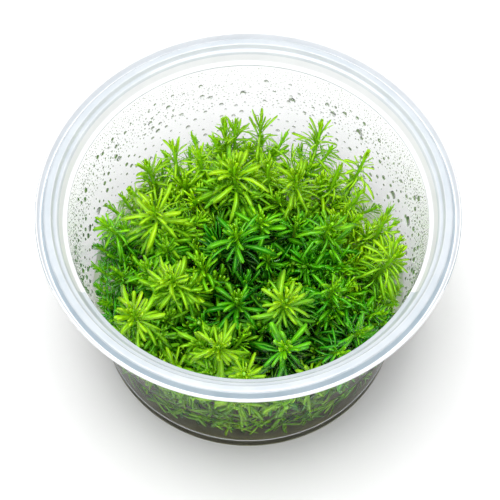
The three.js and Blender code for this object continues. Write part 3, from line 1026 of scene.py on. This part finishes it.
# %% Grow every shoot
SHOOT_VALUES = {
    "Leaf Forms": leaf_forms,
    "Stem Material": stem_green,
    "Whorls": 17,
    "Leaves In Whorl": 5,
    "First Gap": 0.75 * MM,
    "Gap Growth": 0.06 * MM,
    "Stem Radius": 0.42 * MM,
    "Wall At Table": inner_radius(0) - 0.5 * MM,
    "Wall Slope": WALL_SLOPE,
    "Floor Height": FLOOR_TOP + 0.6 * MM,
}
# Shoots that take the lighter leaf finish, painted light
PAINTED_LIGHT_SHOOTS = {"shoot_18", "shoot_33", "shoot_34", "shoot_40", *WALL_OWNERS}
# Millimetres below the tip at which the leaves of these shoots are old, set per shoot as painted light and
# shade
OWN_AGE_AND_SHADE_REACH = {
    "shoot_18": 34, "shoot_19": 34, "shoot_25": 12, "shoot_27": 24, "shoot_28": 17, "shoot_32": 26,
    "shoot_33": 28, "shoot_34": 28, "shoot_35": 8, "shoot_36": 30, "shoot_37": 30, "shoot_39": 30,
    "shoot_40": 17, "shoot_42": 30, "shoot_44": 11, "shoot_45": 13, "shoot_46": 15,
}
# Old depths for the shaded front and the lit back and sides, in millimetres: painted shade and light
PAINTED_SHADE_REACH = 12.5
PAINTED_LIGHT_REACH = 36
LAST_ROW = 24 * MM


def age_and_shade_depth(node):
    """How far below its tip a shoot's leaves are old: soon in front, painted shade, later at the back and
    sides, painted light.
    """
    if node in OWN_AGE_AND_SHADE_REACH:
        return OWN_AGE_AND_SHADE_REACH[node] * MM
    tip = ends[node][2]
    painted_light_share = max(0.0, tip.y + 0.6 * abs(tip.x) + 0.2 * tip.x) / LEDGE_RADIUS
    return (PAINTED_SHADE_REACH + PAINTED_LIGHT_REACH * painted_light_share) * MM


def takes_painted_light(node):
    """True for the shoots that take the lighter leaf finish, painted light: chosen ones, back and right."""
    tip = ends[node][2]
    return node in PAINTED_LIGHT_SHOOTS or tip.y > 12 * MM or tip.x > 22 * MM and tip.y > -12 * MM


def grow(node, number):
    """Grows one shoot from its solid and gives it back as a plain mesh."""
    in_last_row = ends[node][2].y > LAST_ROW
    own = {
        "Leaf Material": leaf_painted_light if takes_painted_light(node) else leaf_green,
        "Leaf Length": ends[node][3],
        "Old Below Tip": age_and_shade_depth(node),
        "Bud Lift": math.radians(84 if in_last_row else 68),
        "Leaf Breadth": 0.72 if in_last_row else 1.0,
        "Seed": number * 17,
    }
    line = stem_curve(node, random.Random(number))
    return run_tree(line, shoot_tree, shoot_sockets, {**SHOOT_VALUES, **own}, f"leafy_{node}")


triangles = 0
for number, node in enumerate(shoot_names):
    plant = grow(node, number)
    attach(plant, "root")
    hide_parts(node)
    triangles += triangle_count(plant)
print("shoots grown:", len(shoot_names), "triangles:", triangles)

# %% [markdown]
# ## Droplets
# Moisture settles on the inner wall as domes of water. High up they are a fine dew. Lower down
# they have run together into fewer and larger ones, and above the gel's edge the wall is bare.
# Geometry Nodes scatter them: points spread over a band of the wall at no less than a given
# spacing, each carrying a dome that is sized by chance and turned to face off the wall. Like
# the gel, a dome's back reaches into the plastic, so that no film of air is left between.

# %% Water and one dome
DOME_STRETCH = 1.15
CAP_RISE = 0.08

water, tree, shader = new_material("condensed_water")
shader.inputs["Transmission Weight"].default_value = 1.0
shader.inputs["IOR"].default_value = 1.33
place = out(add(tree, "ShaderNodeTexCoord"), "Object")
tiny = out(add(tree, "ShaderNodeTexNoise", {"Vector": place, "Scale": 400.0}))
tree.links.new(span(tree, tiny, 0.3, 0.7, 0.0, 0.03), shader.inputs["Roughness"])
tones = ramp(tree, tiny, [(0.0, (0.97, 0.985, 0.99, 1)), (1.0, (1, 1, 1, 1))])
tree.links.new(tones, shader.inputs["Base Color"])


def dome(name, sides, rings):
    """A closed water dome of radius 1. It stands on z = 0 and has a flat back below."""
    points, faces = [], []
    for radius, rise in rings:
        points += [polar(radius, 2 * math.pi * k / sides, rise) for k in range(sides)]
    for row in range(len(rings) - 1):
        for k in range(sides):
            a, b = sides * row + k, sides * row + (k + 1) % sides
            faces.append((a, b, b + sides, a + sides))
    faces.append(tuple(reversed(range(sides))))
    points.append((0, 0, rings[-1][1] + CAP_RISE))
    last = sides * (len(rings) - 1)
    faces += [(last + k, last + (k + 1) % sides, len(points) - 1) for k in range(sides)]
    body = new_body(name, points, faces)
    body.data.polygons.foreach_set("use_smooth", [f.normal.z > -0.9 for f in body.data.polygons])
    return body


fine_dome = dome("fine_dome", 6, ((0.98, -0.2), (1.0, 0.0), (0.78, 0.42)))
large_dome = dome("large_dome", 14, ((0.98, -0.1), (1.0, 0.0), (0.93, 0.24), (0.74, 0.47), (0.4, 0.62)))
print("dome faces:", len(fine_dome.data.polygons), len(large_dome.data.polygons))

# %% The droplet tree
DROPLET_INPUTS = {
    "Wall Band": "Geometry",
    "Dome": "Object",
    "Water": "Material",
    "Spacing": "Float",
    "Smallest": "Float",
    "Largest": "Float",
    "Seed": "Int",
}


def build_droplet_tree():
    tree, sockets, given = new_tree("droplets", DROPLET_INPUTS)
    spread = {
        "Mesh": given["Wall Band"],
        "Distance Min": given["Spacing"],
        "Density Max": 4.0e6,
        "Seed": given["Seed"],
    }
    scatter = add(tree, "GeometryNodeDistributePointsOnFaces", spread, distribute_method="POISSON")
    axes = {"Primary Axis": out(scatter, "Normal"), "Secondary Axis": (0, 0, 1)}
    up = out(add(tree, "FunctionNodeAxesToRotation", axes, primary_axis="Z", secondary_axis="Y"))
    chance = add(tree, "FunctionNodeRandomValue", {"Min": 0.0, "Max": 1.0, "Seed": given["Seed"]})
    mostly_small = calculate(tree, "POWER", out(chance), 2.5)
    size = span(tree, mostly_small, 0.0, 1.0, given["Smallest"], given["Largest"])
    tall = calculate(tree, "MULTIPLY", size, DOME_STRETCH)
    shape = out(add(tree, "ShaderNodeCombineXYZ", {"X": size, "Y": tall, "Z": size}))
    one = out(add(tree, "GeometryNodeObjectInfo", {"Object": given["Dome"]}), "Geometry")
    feeds = {"Points": out(scatter, "Points"), "Instance": one, "Rotation": up, "Scale": shape}
    placed = out(add(tree, "GeometryNodeInstanceOnPoints", feeds))
    real = out(add(tree, "GeometryNodeRealizeInstances", {"Geometry": placed}))
    wet = out(add(tree, "GeometryNodeSetMaterial", {"Geometry": real, "Material": given["Water"]}))
    finish_tree(tree, wet)
    return tree, sockets


droplet_tree, droplet_sockets = build_droplet_tree()
print("droplet tree nodes:", len(droplet_tree.nodes))

# %% Scatter the droplets
WET_FROM, WET_TO = -38, 218
BAND_STEPS = 90
# For each field: lowest and highest place, dome, spacing, and smallest and largest radius
FIELDS = {
    "dew_high": (LEDGE_HEIGHT - 8 * MM, LEDGE_HEIGHT - 1.0 * MM, fine_dome, 0.58 * MM, 0.1 * MM, 0.22 * MM),
    "dew_low": (LEDGE_HEIGHT - 16 * MM, LEDGE_HEIGHT - 7 * MM, fine_dome, 0.85 * MM, 0.12 * MM, 0.3 * MM),
    "droplets": (GEL_TOP + 5 * MM, LEDGE_HEIGHT - 6 * MM, large_dome, 2.3 * MM, 0.18 * MM, 0.7 * MM),
}


def wall_band(low, high):
    """A strip of the inner wall, back and sides, with its faces towards the middle."""
    points, faces = [], []
    for i in range(BAND_STEPS + 1):
        angle = math.radians(WET_FROM + (WET_TO - WET_FROM) * i / BAND_STEPS)
        points += [polar(inner_radius(height), angle, height) for height in (low, high)]
    for a in range(0, 2 * BAND_STEPS, 2):
        faces.append((a, a + 1, a + 3, a + 2))
    return new_body("wall_band", points, faces, smooth=False)


for seed, (name, (low, high, form, spacing, smallest, largest)) in enumerate(FIELDS.items(), start=1):
    values = {"Dome": form, "Water": water, "Spacing": spacing}
    values.update({"Smallest": smallest, "Largest": largest, "Seed": seed})
    beads = run_tree(wall_band(low, high), droplet_tree, droplet_sockets, values, name)
    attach(beads, "root")
    print(name, "triangles:", triangle_count(beads))

# %% [markdown]
# A few drops have run together into beads of a millimetre and more. Their places come from the
# photograph, so each is listed one by one: bearing in degrees, height and radius in millimetres.

# %% The largest drops
LARGEST_DROPS = (
    (91.9, 41.8, 0.75),
    (74.4, 40.6, 0.95),
    (58.8, 41.2, 0.85),
    (47.4, 40.1, 1.1),
    (25.1, 31.7, 1.1),
    (11.9, 33.8, 1.2),
    (160.1, 29.6, 1.0),
    (168.9, 31.3, 0.9),
    (127.0, 40.5, 0.7),
    (143.0, 37.0, 0.75),
)

points, faces = [], []
for bearing, height, size in LARGEST_DROPS:
    outward = polar(1.0, math.radians(bearing))
    inward = Vector((-outward.x, -outward.y, WALL_SLOPE)).normalized()
    aside = Vector((-outward.y, outward.x, 0))
    upward = inward.cross(aside)
    centre = outward * inner_radius(height * MM) + Vector((0, 0, height * MM))
    first = len(points)
    for vertex in large_dome.data.vertices:
        x, y, z = vertex.co * size * MM
        points.append(centre + aside * x + upward * y * DOME_STRETCH + inward * z)
    faces += [tuple(first + k for k in face.vertices) for face in large_dome.data.polygons]
largest_drops = into_scene(new_body("largest_drops", points, faces, [water]))
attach(largest_drops, "root")
print("largest drops:", len(LARGEST_DROPS))
